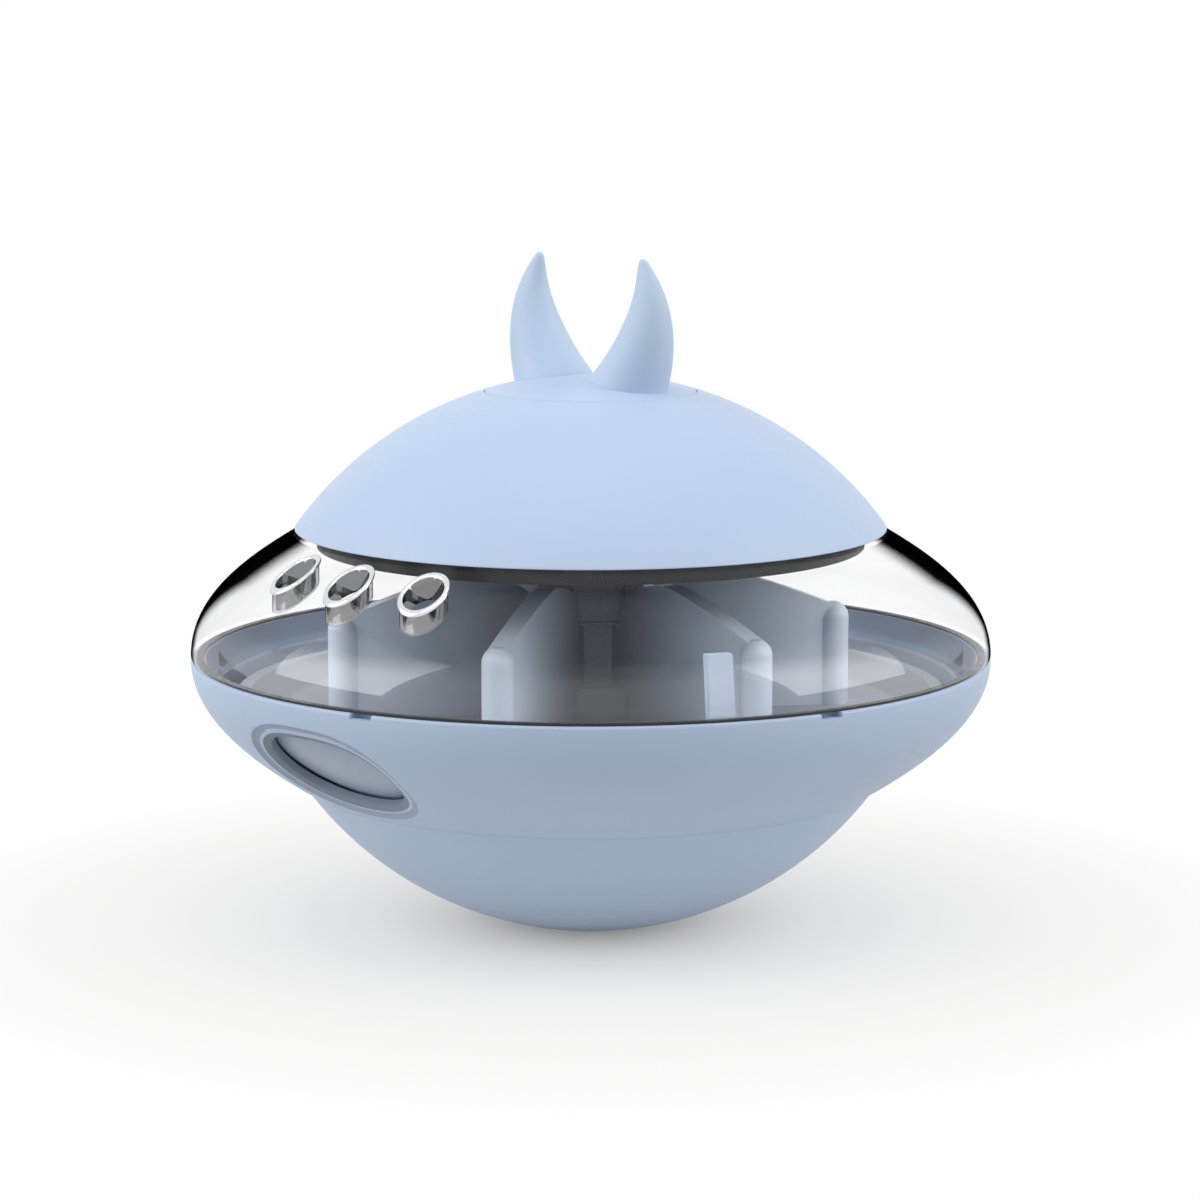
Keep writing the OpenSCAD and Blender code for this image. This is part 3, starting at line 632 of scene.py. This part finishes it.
class TOY_OT_saucer(bpy.types.Operator):
    """Makes the lower shell of the saucer with its soft-edged port"""

    bl_idname = "toy.saucer"
    bl_label = "Saucer"

    def execute(self, context):
        s, c = context.scene.toy_sizes, context.scene.toy_colours
        curve = bowl_curve(s)
        floor_wall, rim_edge = 2.4 * MM, 0.35 * MM
        floor_top = s.kink_h + floor_wall
        boss_r, boss_top = 5 * MM, 30 * MM
        inner_low = share_at_height(curve, s.saucer_wall, floor_top)
        outline = [(0, boss_top), (boss_r, boss_top), (boss_r, floor_top)]
        outline += inset_outline(curve, s.saucer_wall, inner_low, 0, 24)
        rim = len(outline)
        outline += inset_outline(curve, 0, 0, 1, 40) + [(0, s.kink_h)]
        outline = rounded(outline, rim, rim_edge)
        bowl = turned("saucer_shell", outline, 240)
        cut(bowl, self.port_cutter(s, curve, bowl))
        cut(bowl, self.notch_cutter(s))
        smooth(bowl, 36)
        stands_for(bowl, "saucer_bowl", moulded_plastic("Satin shell", c.shell))
        middle, up, outwards = self.port_place(s, curve)

        def within(face, grow):
            """Whether the face lies in the port's outline, grown by so much."""
            half_w, half_h, lift = self.port_ring(s, grow)
            place = face.center - middle
            across, along = abs(place.x) / half_w, abs(place.dot(up) - lift) / half_h
            near = -4 * MM < place.dot(outwards) < 8 * MM
            return near and across**PORT_POWER + along**PORT_POWER < 1

        # The port's rim rings and wall get darker copies of the shell plastic: painted shade in the recess
        outer_ring, step, wall = 2.72 * MM, 1.58 * MM, 1.04 * MM
        rim_shade_finish = moulded_plastic("Matt port rim painted shade", c.port_rim_shade, (0.5, 0.6))
        also(bowl, rim_shade_finish, lambda f: within(f, outer_ring) and not within(f, step))
        also(bowl, moulded_plastic("Matt port wall painted shade", c.port_wall_shade, (0.6, 0.7)), lambda f: within(f, wall))
        return {"FINISHED"}

    def port_place(self, s, curve):
        """Middle of the port on the wall's face, with the ways up the wall and out of it."""
        share = share_at_height(curve, 0, s.port_h)
        place, way = curve_point(curve, share), curve_way(curve, share)
        return Vector((0, -place.x, place.y)), Vector((0, way.x, -way.y)), Vector((0, way.y, way.x))

    def port_ring(self, s, grow):
        """Half width, half height and lift of the port's outline, grown from its opening."""
        share = min(1, grow / s.port_rim_w)
        half_h = s.port_half_h + grow + 0.5 * MM * (1 - share)
        lift = (0.55 + 0.25 * share) * MM
        return s.port_half_w + grow, half_h, lift

    def notch_cutter(self, s):
        """The two small slots in the rim, for a coin that frees the window."""
        bpy.ops.object.select_all(action="DESELECT")
        slots = []
        slot_size = (4.6 * MM, 3.6 * MM, 1.4 * MM)
        away = s.saucer_r + 0.3 * MM
        for turn in (math.radians(12), math.radians(78)):
            place = (away * math.sin(turn), -away * math.cos(turn), s.seam_h - s.seam_gap / 2)
            bpy.ops.mesh.primitive_cube_add(size=1, location=place, rotation=(0, 0, turn - math.pi / 2))
            slot = bpy.context.object
            slot.scale = slot_size
            bpy.ops.object.transform_apply()
            slots.append(slot)
        for slot in slots:
            slot.select_set(True)
        bpy.ops.object.join()
        return bpy.context.object

    def port_cutter(self, s, curve, bowl):
        """The port's space, from outside the wall through its rounded rim and opening to the inside."""
        middle, up, outwards = self.port_place(s, curve)
        net = bmesh.new()
        net.from_mesh(bowl.data)
        skin = BVHTree.FromBMesh(net)
        net.free()
        sides, far_out, skin_depth = 112, 12 * MM, 4 * MM
        steps = [  # (width beyond the opening, depth below the wall's face) in millimetres
            (2.95, -5.0), (2.95, -0.8), (2.75, -0.02), (2.62, 0.08), (2.45, 0.2), (2.2, 0.32), (1.9, 0.42),
            (1.65, 0.5), (1.55, 0.53), (1.1, 0.56), (1.0, 0.6), (0.8, 0.7), (0.5, 0.84), (0.25, 0.96),
            (0.1, 1.08), (0.02, 1.2), (0, 1.35), (0, 4.6),
        ]
        bpy.ops.object.select_all(action="DESELECT")
        bpy.ops.mesh.primitive_circle_add(vertices=sides, radius=s.port_half_w, location=(0, 0, 0))
        cutter = bpy.context.object
        bpy.ops.object.mode_set(mode="EDIT")
        bpy.ops.mesh.select_all(action="SELECT")
        bpy.ops.mesh.edge_face_add()
        for _ in steps[1:]:
            bpy.ops.mesh.extrude_region_move(TRANSFORM_OT_translate={"value": (0, 0, -MM)})
        bpy.ops.object.mode_set(mode="OBJECT")
        order = sorted(
            cutter.data.vertices,
            key=lambda v: (round(-v.co.z / MM), round(math.atan2(v.co.y, v.co.x) * sides / math.tau) % sides),
        )
        for index, vertex in enumerate(order):
            ring, side = divmod(index, sides)
            grow, depth = (v * MM for v in steps[ring])
            a = math.tau * side / sides
            power = 2 / PORT_POWER
            half_w, half_h, lift = self.port_ring(s, grow)
            x = half_w * math.copysign(abs(math.cos(a)) ** power, math.cos(a))
            y = half_h * math.copysign(abs(math.sin(a)) ** power, math.sin(a))
            start = middle + Vector((x, 0, 0)) + up * (y + lift) + outwards * far_out
            hit, normal, _, _ = skin.ray_cast(start, -outwards)
            if hit is None:
                raise RuntimeError("The port's outline misses the saucer's wall")
            vertex.co = hit - (normal if -MM < depth < skin_depth else outwards) * depth
        face_out(cutter)
        return cutter


class TOY_OT_window(bpy.types.Operator):
    """Makes the clear window ring with its collar, skirt and three bores"""

    bl_idname = "toy.window"
    bl_label = "Window Ring"

    def execute(self, context):
        s, c = context.scene.toy_sizes, context.scene.toy_colours
        curve = window_curve(s)
        bowl = bowl_curve(s)
        low = curve[0][1]
        collar_r = dome_rim_r(s) - COLLAR_IN
        collar_h = 3.6 * MM
        top = collar_top(s)
        skirt_end = low - 3.3 * MM
        skirt_place = share_at_height(bowl, s.saucer_wall, skirt_end)
        skirt_r = inset_point(bowl, skirt_place, s.saucer_wall).x - 0.3 * MM
        skirt_in = skirt_r - 1.2 * MM
        ledge = low + 1.3 * MM
        outline = inset_outline(curve, 0, 0, 1, 40)
        outline += [
            (collar_r + COLLAR_SEAT, top),
            (collar_r, top),
            (collar_r, top - collar_h),
            (collar_r + 1.7 * MM, top - collar_h),
        ]
        outline += inset_outline(curve, s.window_wall, 1, share_at_height(curve, s.window_wall, ledge), 32)
        outline += [
            (skirt_in, ledge),
            (skirt_in, skirt_end),
            (skirt_r, skirt_end),
            (skirt_r, low),
        ]
        outline = rounded(outline, 0, 0.3 * MM)
        ring = turned("window_shell", closed(outline), 240)
        cutters = []
        for place in outlet_places(s):
            bpy.ops.mesh.primitive_cylinder_add(
                vertices=64, radius=s.outlet_r + 0.05 * MM, depth=20 * MM, location=(*place, 52 * MM)
            )
            cutters.append(bpy.context.object)
        bpy.ops.object.select_all(action="DESELECT")
        for cutter in cutters:
            cutter.select_set(True)
        bpy.ops.object.join()
        cut(ring, bpy.context.object)
        smooth(ring, 30)
        stands_for(ring, "window_ring", clear_plastic("Clear window", c.clear, c.clear_painted_dark))

        def is_inside(face):
            away, height = math.hypot(face.center.x, face.center.y), face.center.z
            if height < low + 0.2 * MM or height > curve[3][1] - 0.1 * MM:
                return True
            face_r = curve_point(curve, share_at_height(curve, 0, height)).x
            return away < face_r - 0.25 * MM

        also(ring, inner_clear("Clear window inside", c.clear), is_inside)
        return {"FINISHED"}


def outlet_places(s):
    """Middles of the three sleeves, seen from above."""
    away = dome_rim_r(s) + 1.3 * MM + s.outlet_r
    turns = [math.radians(15.8 * side) for side in (-1, 0, 1)]
    return [(away * math.sin(a), -away * math.cos(a)) for a in turns]


class TOY_OT_sleeves(bpy.types.Operator):
    """Makes the three outlet sleeves with their rolled rims"""

    bl_idname = "toy.sleeves"
    bl_label = "Outlet Sleeves"

    def execute(self, context):
        s, c = context.scene.toy_sizes, context.scene.toy_colours
        curve = window_curve(s)
        bore, outer = s.outlet_r - s.outlet_wall, s.outlet_r
        lip = outer + 0.3 * MM
        drop = -s.outlet_drop
        outline = [
            (bore, drop), (bore, 0.18 * MM), (bore + 0.08 * MM, 0.33 * MM), (bore + 0.24 * MM, 0.4 * MM),
            (lip - 0.26 * MM, 0.4 * MM), (lip - 0.08 * MM, 0.33 * MM), (lip, 0.16 * MM), (lip, 0.01 * MM),
            (outer, 0.01 * MM), (outer, drop), (outer - 0.12 * MM, drop - 0.07 * MM),
            (bore + 0.12 * MM, drop - 0.07 * MM),
        ]
        tube = turned("sleeve_pattern", closed(outline), 72)
        # The sleeves' clear plastic gets the same painted dark reflection where it turns away
        material = clear_plastic("Clear sleeve", shaded(c.clear, 0.8), c.clear_painted_dark, (0.72, 0.72), 0.18, 0)
        # The bores' walls get a dark tint: painted dark reflection in the clear tubes
        bore_dark_finish = inner_clear("Bore painted dark", c.bore_dark_tint, 0.22)
        lip_finish = polished_lip("Polished lip", c.chrome)
        names = ("left", "middle", "right")
        for name, place in zip(names, outlet_places(s)):
            pick(tube)
            bpy.ops.object.duplicate()
            sleeve = bpy.context.object
            sleeve.name = f"sleeve_{name}"
            bpy.ops.object.mode_set(mode="EDIT")
            bpy.ops.mesh.select_all(action="SELECT")
            bpy.ops.transform.translate(value=(*place, 0))
            bpy.ops.object.mode_set(mode="OBJECT")
            stands_for(sleeve, f"outlet_sleeve_{name}", material)
            middle = Vector((*place, 0))
            in_bore = bore + 0.02 * MM
            also(sleeve, bore_dark_finish, lambda f: (f.center - middle).xy.length < in_bore and f.center.z < 0)
            also(sleeve, lip_finish, lambda f: f.center.z > 0.02 * MM)
            for vertex in sleeve.data.vertices:
                vertex.co.z += self.face_height(curve, math.hypot(vertex.co.x, vertex.co.y))
            smooth(sleeve, 40)
        bpy.data.objects.remove(tube)
        return {"FINISHED"}

    def face_height(self, curve, away):
        """Height of the window's outer face at a distance from the axis."""
        low, high = 0.0, 1.0
        for _ in range(30):
            middle = (low + high) / 2
            if curve_point(curve, middle).x > away:
                low = middle
            else:
                high = middle
        return curve_point(curve, low).y


class TOY_OT_dome(bpy.types.Operator):
    """Makes the lift-off domed lid with its skirt and the seat for the cap"""

    bl_idname = "toy.dome"
    bl_label = "Dome"

    def execute(self, context):
        s, c = context.scene.toy_sizes, context.scene.toy_colours
        radius, middle = dome_ball(s)
        rim_r = dome_rim_r(s)
        inner = radius - s.dome_wall
        collar_r = rim_r - COLLAR_IN
        under = collar_top(s) + LID_GAP
        skirt_out, skirt_in = collar_r - LID_GAP, collar_r - 2.1 * MM
        skirt_low = under - 3.4 * MM
        skirt_top = under + 1.7 * MM
        seat = ball_height(radius, middle, s.cap_r) - 2.65 * MM
        hole = s.cap_r + CAP_SEAM
        seat_out = hole + 2.1 * MM
        inner_rim = inner * math.sqrt(1 - ((under + 1.6 * MM - middle) / inner) ** 2)
        arc_steps = 64
        outline = ball_arc(radius, middle, hole, rim_r, arc_steps)
        outline += [
            (rim_r - DOME_LAND, s.dome_rim_h),
            (collar_r + COLLAR_SEAT, under),
            (skirt_out, under),
            (skirt_out, skirt_low),
            (skirt_in, skirt_low),
            (skirt_in, ball_height(inner, middle, skirt_in)),
        ]
        outline += ball_arc(inner, middle, min(skirt_in, inner_rim) - 0.2 * MM, seat_out, 24)
        seat_low = seat - 2.2 * MM
        outline += [(seat_out, seat_low), (s.fill_r, seat_low), (s.fill_r, seat), (hole, seat)]
        outline = rounded(outline, arc_steps, 0.28 * MM, 4)
        outline = rounded(outline, 0, 0.15 * MM, 4)
        lid = turned("dome_shell", closed(outline), 240)
        smooth(lid)
        stands_for(lid, "top_dome", moulded_plastic("Satin shell", c.shell))
        # The skirt under the dome's edge is painted near-black: painted shade
        skirt_shade_finish = moulded_plastic("Lid skirt painted shade", c.skirt, (0.45, 0.55))
        also(lid, skirt_shade_finish, lambda f: f.center.z < skirt_top and math.hypot(*f.center.xy) < collar_r)
        # The dome's downward inner faces get painted shade
        lid_shade_finish = moulded_plastic("Lid inside painted shade", c.lid_inside_shade, (0.4, 0.5))
        also(lid, lid_shade_finish, lambda f: f.center.z > skirt_top and f.normal.z < -0.3)
        return {"FINISHED"}


class TOY_OT_cap(bpy.types.Operator):
    """Makes the cap and its plug, which close the fill hole"""

    bl_idname = "toy.cap"
    bl_label = "Cap and Plug"

    def execute(self, context):
        s, c = context.scene.toy_sizes, context.scene.toy_colours
        radius, middle = dome_ball(s)
        cap_wall, plug_wall = 2.6 * MM, 1.8 * MM
        under = ball_height(radius, middle, s.cap_r) - cap_wall
        seat = under - 0.05 * MM
        plug_r = s.fill_r - LID_GAP
        plug_in = plug_r - plug_wall
        low = seat - 5.28 * MM
        roof = s.dome_rim_h + s.dome_rise - cap_wall
        outline = ball_arc(radius, middle, 0, s.cap_r, 32)
        edge = len(outline) - 1
        outline += [(s.cap_r, under), (plug_r, under), (plug_r, low)]
        outline += [(plug_in, low), (plug_in, roof), (0, roof)]
        outline = rounded(outline, edge, 0.15 * MM, 5)
        cap = turned("cap_shell", outline, 192)
        smooth(cap)
        stands_for(cap, "ear_cap", moulded_plastic("Satin shell", c.shell))
        return {"FINISHED"}


class TOY_OT_ears(bpy.types.Operator):
    """Makes the two soft horn-shaped ears, ring by ring from foot to tip"""

    bl_idname = "toy.ears"
    bl_label = "Ears"

    # Height share, middle as a share of half the span, radius as a share of the foot's radius
    RINGS = (
        (-0.07, 0.492, 1.0), (0, 0.492, 1.0), (0.06, 0.538, 0.95), (0.14, 0.594, 0.89),
        (0.23, 0.649, 0.83), (0.33, 0.697, 0.76), (0.44, 0.739, 0.678), (0.55, 0.767, 0.587),
        (0.66, 0.777, 0.485), (0.76, 0.766, 0.385), (0.85, 0.74, 0.285), (0.93, 0.705, 0.185),
        (0.98, 0.688, 0.118), (0.998, 0.682, 0.05),
    )

    def execute(self, context):
        s, c = context.scene.toy_sizes, context.scene.toy_colours
        radius, middle = dome_ball(s)
        top = s.dome_rim_h + s.dome_rise
        half = s.ears_span / 2

        def ring(share, centre, size):
            """Middle, radius and flatness of a ring of the ear."""
            place = Vector((half * centre, 0, top + share * s.ear_h))
            return place, s.ear_foot_r * size, 1 - 0.2 * max(0, share)

        place, size, flat = ring(*self.RINGS[0])
        bpy.ops.object.select_all(action="DESELECT")
        bpy.ops.mesh.primitive_circle_add(vertices=40, radius=size, fill_type="NGON", location=place)
        ear = bpy.context.object
        ear.name = "ear_right"
        bpy.ops.object.transform_apply(location=True, rotation=False, scale=False)
        bpy.ops.object.mode_set(mode="EDIT")
        bpy.ops.mesh.select_all(action="SELECT")
        for entry in self.RINGS[1:]:
            there, next_size, next_flat = ring(*entry)
            bpy.ops.mesh.extrude_region_move(TRANSFORM_OT_translate={"value": there - place})
            growth = next_size / size
            bpy.ops.transform.resize(value=(growth, growth * next_flat / flat, 1), center_override=there)
            place, size, flat = there, next_size, next_flat
        bpy.ops.object.mode_set(mode="OBJECT")
        face_out(ear)
        for vertex in ear.data.vertices:  # the foot follows the cap, and the tip stays
            share = (vertex.co.z - top) / s.ear_h
            fall = top - ball_height(radius, middle, math.hypot(vertex.co.x, vertex.co.y))
            vertex.co.z -= fall * (1 - share)
        pick(ear)
        finer = ear.modifiers.new("Finer", "SUBSURF")
        finer.levels = finer.render_levels = 2
        bpy.ops.object.modifier_apply(modifier=finer.name)
        smooth(ear, 60)
        bpy.ops.object.duplicate()
        other = bpy.context.object
        other.name = "ear_left"
        bpy.ops.object.mode_set(mode="EDIT")
        bpy.ops.mesh.select_all(action="SELECT")
        bpy.ops.transform.resize(value=(-1, 1, 1), center_override=(0, 0, 0))
        bpy.ops.object.mode_set(mode="OBJECT")
        face_out(other)
        material = moulded_plastic("Soft ear", c.ears, (0.5, 0.6), 0.03, 0.15)
        stands_for(ear, "right_ear", material)
        stands_for(other, "left_ear", material)
        return {"FINISHED"}


class TOY_OT_chamber(bpy.types.Operator):
    """Copies the tray, the partition wheel, its hub cap and the gate with even shading, rounds the hub cap's
    edges, and finishes them
    """

    bl_idname = "toy.chamber"
    bl_label = "Treat Chamber"

    def execute(self, context):
        c = context.scene.toy_colours
        hub_r, tab_foot = 8 * MM, 38.5 * MM
        tray = softened_copy("treat_tray", "tray_dish")
        # Tray and wheel darken towards the axis: painted shade under the dome
        tray_shade_plastic = shade_towards_axis("Tray plastic painted shade", c.tray_middle_shade, c.inside, 18 * MM, 46 * MM)
        stands_for(tray, "treat_tray", tray_shade_plastic)
        wheel_shade_plastic = shade_towards_axis("Wheel plastic painted shade", c.hub, c.wheel, hub_r, 34 * MM)
        wheel = softened_copy("partition_wheel", "wheel_fins")
        stands_for(wheel, "partition_wheel", wheel_shade_plastic)
        # The hub cap and the wheel's middle faces get the hub's painted shade
        hub_shade_plastic = moulded_plastic("Hub plastic painted shade", c.hub, (0.28, 0.4))
        also(wheel, hub_shade_plastic, lambda f: math.hypot(*f.center.xy) < hub_r)
        hub = softened_copy("hub_cap", "wheel_hub", 0.4 * MM)
        stands_for(hub, "hub_cap", hub_shade_plastic)
        # The gate's band takes the darker painted-shade copy, its tab the lighter one
        gate = softened_copy("gate_ring", "gate_band", merge=False)
        stands_for(gate, "gate_ring", moulded_plastic("Gate plastic painted shade", c.gate, (0.3, 0.4)))
        also(gate, moulded_plastic("Tab plastic", c.tab, (0.3, 0.4)), lambda f: f.center.z > tab_foot)
        return {"FINISHED"}


class TOY_OT_small_parts(bpy.types.Operator):
    """Finishes the seals, the screws, the washer and the weight, whose CAD shapes stay"""

    bl_idname = "toy.small_parts"
    bl_label = "Seals and Steel"

    def execute(self, context):
        c = context.scene.toy_colours
        seal, steel = soft_seal("Dark seal", c.seal), bare_steel("Turned steel", c.steel)
        weight = bare_steel("Weight steel", shaded(c.steel, 0.8), (0.35, 0.5))
        finishes = {
            "seam_seal": seal, "lid_seal": seal, "plug_seal": seal, "base_weight": weight,
            "weight_washer": steel, "weight_screw": steel, "base_screws": steel, "hub_screw": steel,
        }
        for node, finish in finishes.items():
            data = frame["nodes"][node].data
            data.materials.clear()
            data.materials.append(finish)
        return {"FINISHED"}


class TOY_OT_stage(bpy.types.Operator):
    """Sets the pale floor, the soft lights and the camera"""

    bl_idname = "toy.stage"
    bl_label = "Stage"

    def execute(self, context):
        self.floor(context.scene.toy_colours)
        self.world(context.scene)
        self.lights()
        self.camera(context.scene)
        return {"FINISHED"}

    def floor(self, c):
        bpy.ops.object.select_all(action="DESELECT")
        bpy.ops.mesh.primitive_plane_add(size=60, location=(0, 0, 0))
        floor = bpy.context.object
        floor.name = "pale_floor"
        material, _ = new_finish("Pale floor")
        place = add(material, "ShaderNodeTexCoord").outputs["Object"]
        away = add(material, "ShaderNodeVectorMath", {"operation": "LENGTH"}, Vector=place).outputs["Value"]
        far = ranged(material, away, 0, 1, 5 * MM, 110 * MM)
        white_share = ranged(material, maths(material, "POWER", far, 0.66), 0.1, 1, 0, 1)
        farther = ranged(material, away, 0, 1, 50 * MM, 130 * MM)
        tone = blended(material, farther, c.floor, c.floor_far)
        path = add(material, "ShaderNodeLightPath").outputs
        mirrored = maths(material, "MAXIMUM", path["Is Glossy Ray"], path["Is Transmission Ray"])
        seen = maths(material, "MAXIMUM", path["Is Camera Ray"], mirrored)
        share = maths(material, "MULTIPLY", seen, white_share)
        lit = add(
            material, "ShaderNodeBsdfPrincipled", Base_Color=tone, Roughness=0.7, Specular_IOR_Level=0.15
        )
        white = add(material, "ShaderNodeEmission", Color=(1, 1, 1, 1), Strength=1.0)
        surface = add(material, "ShaderNodeMixShader", Fac=share)
        material.node_tree.links.new(lit.outputs["BSDF"], surface.inputs[1])
        material.node_tree.links.new(white.outputs["Emission"], surface.inputs[2])
        output(material, surface.outputs["Shader"])
        floor.data.materials.append(material)

    def world(self, scene):
        world = bpy.data.worlds.new("Studio")
        scene.world = world
        world.use_nodes = True
        tree = world.node_tree
        tree.nodes.clear()
        path = add(world, "ShaderNodeLightPath").outputs
        soft = add(world, "ShaderNodeBackground", Color=(0.97, 0.985, 1, 1), Strength=0.55)
        white = add(world, "ShaderNodeBackground", Color=(1, 1, 1, 1), Strength=1.0)
        mirrored = maths(world, "MAXIMUM", path["Is Glossy Ray"], path["Is Transmission Ray"])
        seen = maths(world, "MAXIMUM", path["Is Camera Ray"], mirrored)
        mix = add(world, "ShaderNodeMixShader", Fac=seen)
        tree.links.new(soft.outputs[0], mix.inputs[1])
        tree.links.new(white.outputs[0], mix.inputs[2])
        add(world, "ShaderNodeOutputWorld", Surface=mix.outputs[0])
        scene.view_settings.view_transform = "Standard"

    def lights(self):
        """Soft boxes at (turn from the camera, height above the floor, distance, size, watts)."""
        boxes = {
            "top_box": (-10, 78, 0.75, 0.7, 1.15),
            "left_box": (-78, 30, 0.8, 0.6, 2.8),
            "right_box": (78, 30, 0.8, 0.6, 2.55),
        }
        for name, (turn, lift, away, size, watts) in boxes.items():
            data = bpy.data.lights.new(name, "AREA")
            data.shape = "SQUARE"
            data.size = size
            data.energy = watts
            lamp = bpy.data.objects.new(name, data)
            bpy.context.scene.collection.objects.link(lamp)
            a, e = math.radians(CAMERA_TURN + turn), math.radians(lift)
            way = Vector((math.sin(a) * math.cos(e), -math.cos(a) * math.cos(e), math.sin(e)))
            lamp.location = way * away + Vector((0, 0, 0.045))
            lamp.rotation_euler = way.to_track_quat("Z", "Y").to_euler()

    def camera(self, scene):
        turn, pitch = math.radians(CAMERA_TURN), math.radians(9.08)
        away, side, height = 587.2 * MM, 1.38 * MM, 142.62 * MM
        data = bpy.data.cameras.new("photo_camera")
        data.sensor_width = 36
        data.lens = 118.59
        data.clip_start, data.clip_end = 0.01, 100
        camera = bpy.data.objects.new("photo_camera", data)
        scene.collection.objects.link(camera)
        camera.location = (
            away * math.sin(turn) + side * math.cos(turn),
            -away * math.cos(turn) + side * math.sin(turn),
            height,
        )
        camera.rotation_euler = (math.pi / 2 - pitch, 0, turn)
        scene.camera = camera


class TOY_PT_panel(bpy.types.Panel):
    """Buttons that make the toy's pieces"""

    bl_idname = "TOY_PT_panel"
    bl_label = "Wobble Toy"
    bl_space_type = "VIEW_3D"
    bl_region_type = "UI"
    bl_category = "Wobble Toy"

    def draw(self, context):
        for operator in OPERATORS:
            self.layout.operator(operator.bl_idname)
        for group in (context.scene.toy_sizes, context.scene.toy_colours):
            column = self.layout.column()
            for key in group.__annotations__:
                column.prop(group, key)


OPERATORS = (
    TOY_OT_base, TOY_OT_saucer, TOY_OT_chamber, TOY_OT_window, TOY_OT_sleeves,
    TOY_OT_dome, TOY_OT_cap, TOY_OT_ears, TOY_OT_small_parts, TOY_OT_stage,
)
CLASSES = (ToySizes, ToyColours, *OPERATORS, TOY_PT_panel)


def register():
    for entry in CLASSES:
        bpy.utils.register_class(entry)
    bpy.types.Scene.toy_sizes = bpy.props.PointerProperty(type=ToySizes)
    bpy.types.Scene.toy_colours = bpy.props.PointerProperty(type=ToyColours)


def unregister():
    del bpy.types.Scene.toy_colours
    del bpy.types.Scene.toy_sizes
    for entry in reversed(CLASSES):
        bpy.utils.unregister_class(entry)


def main():
    register()
    bpy.ops.toy.base()
    bpy.ops.toy.saucer()
    bpy.ops.toy.chamber()
    bpy.ops.toy.window()
    bpy.ops.toy.sleeves()
    bpy.ops.toy.dome()
    bpy.ops.toy.cap()
    bpy.ops.toy.ears()
    bpy.ops.toy.small_parts()
    bpy.ops.toy.stage()


if __name__ == "__main__":
    main()
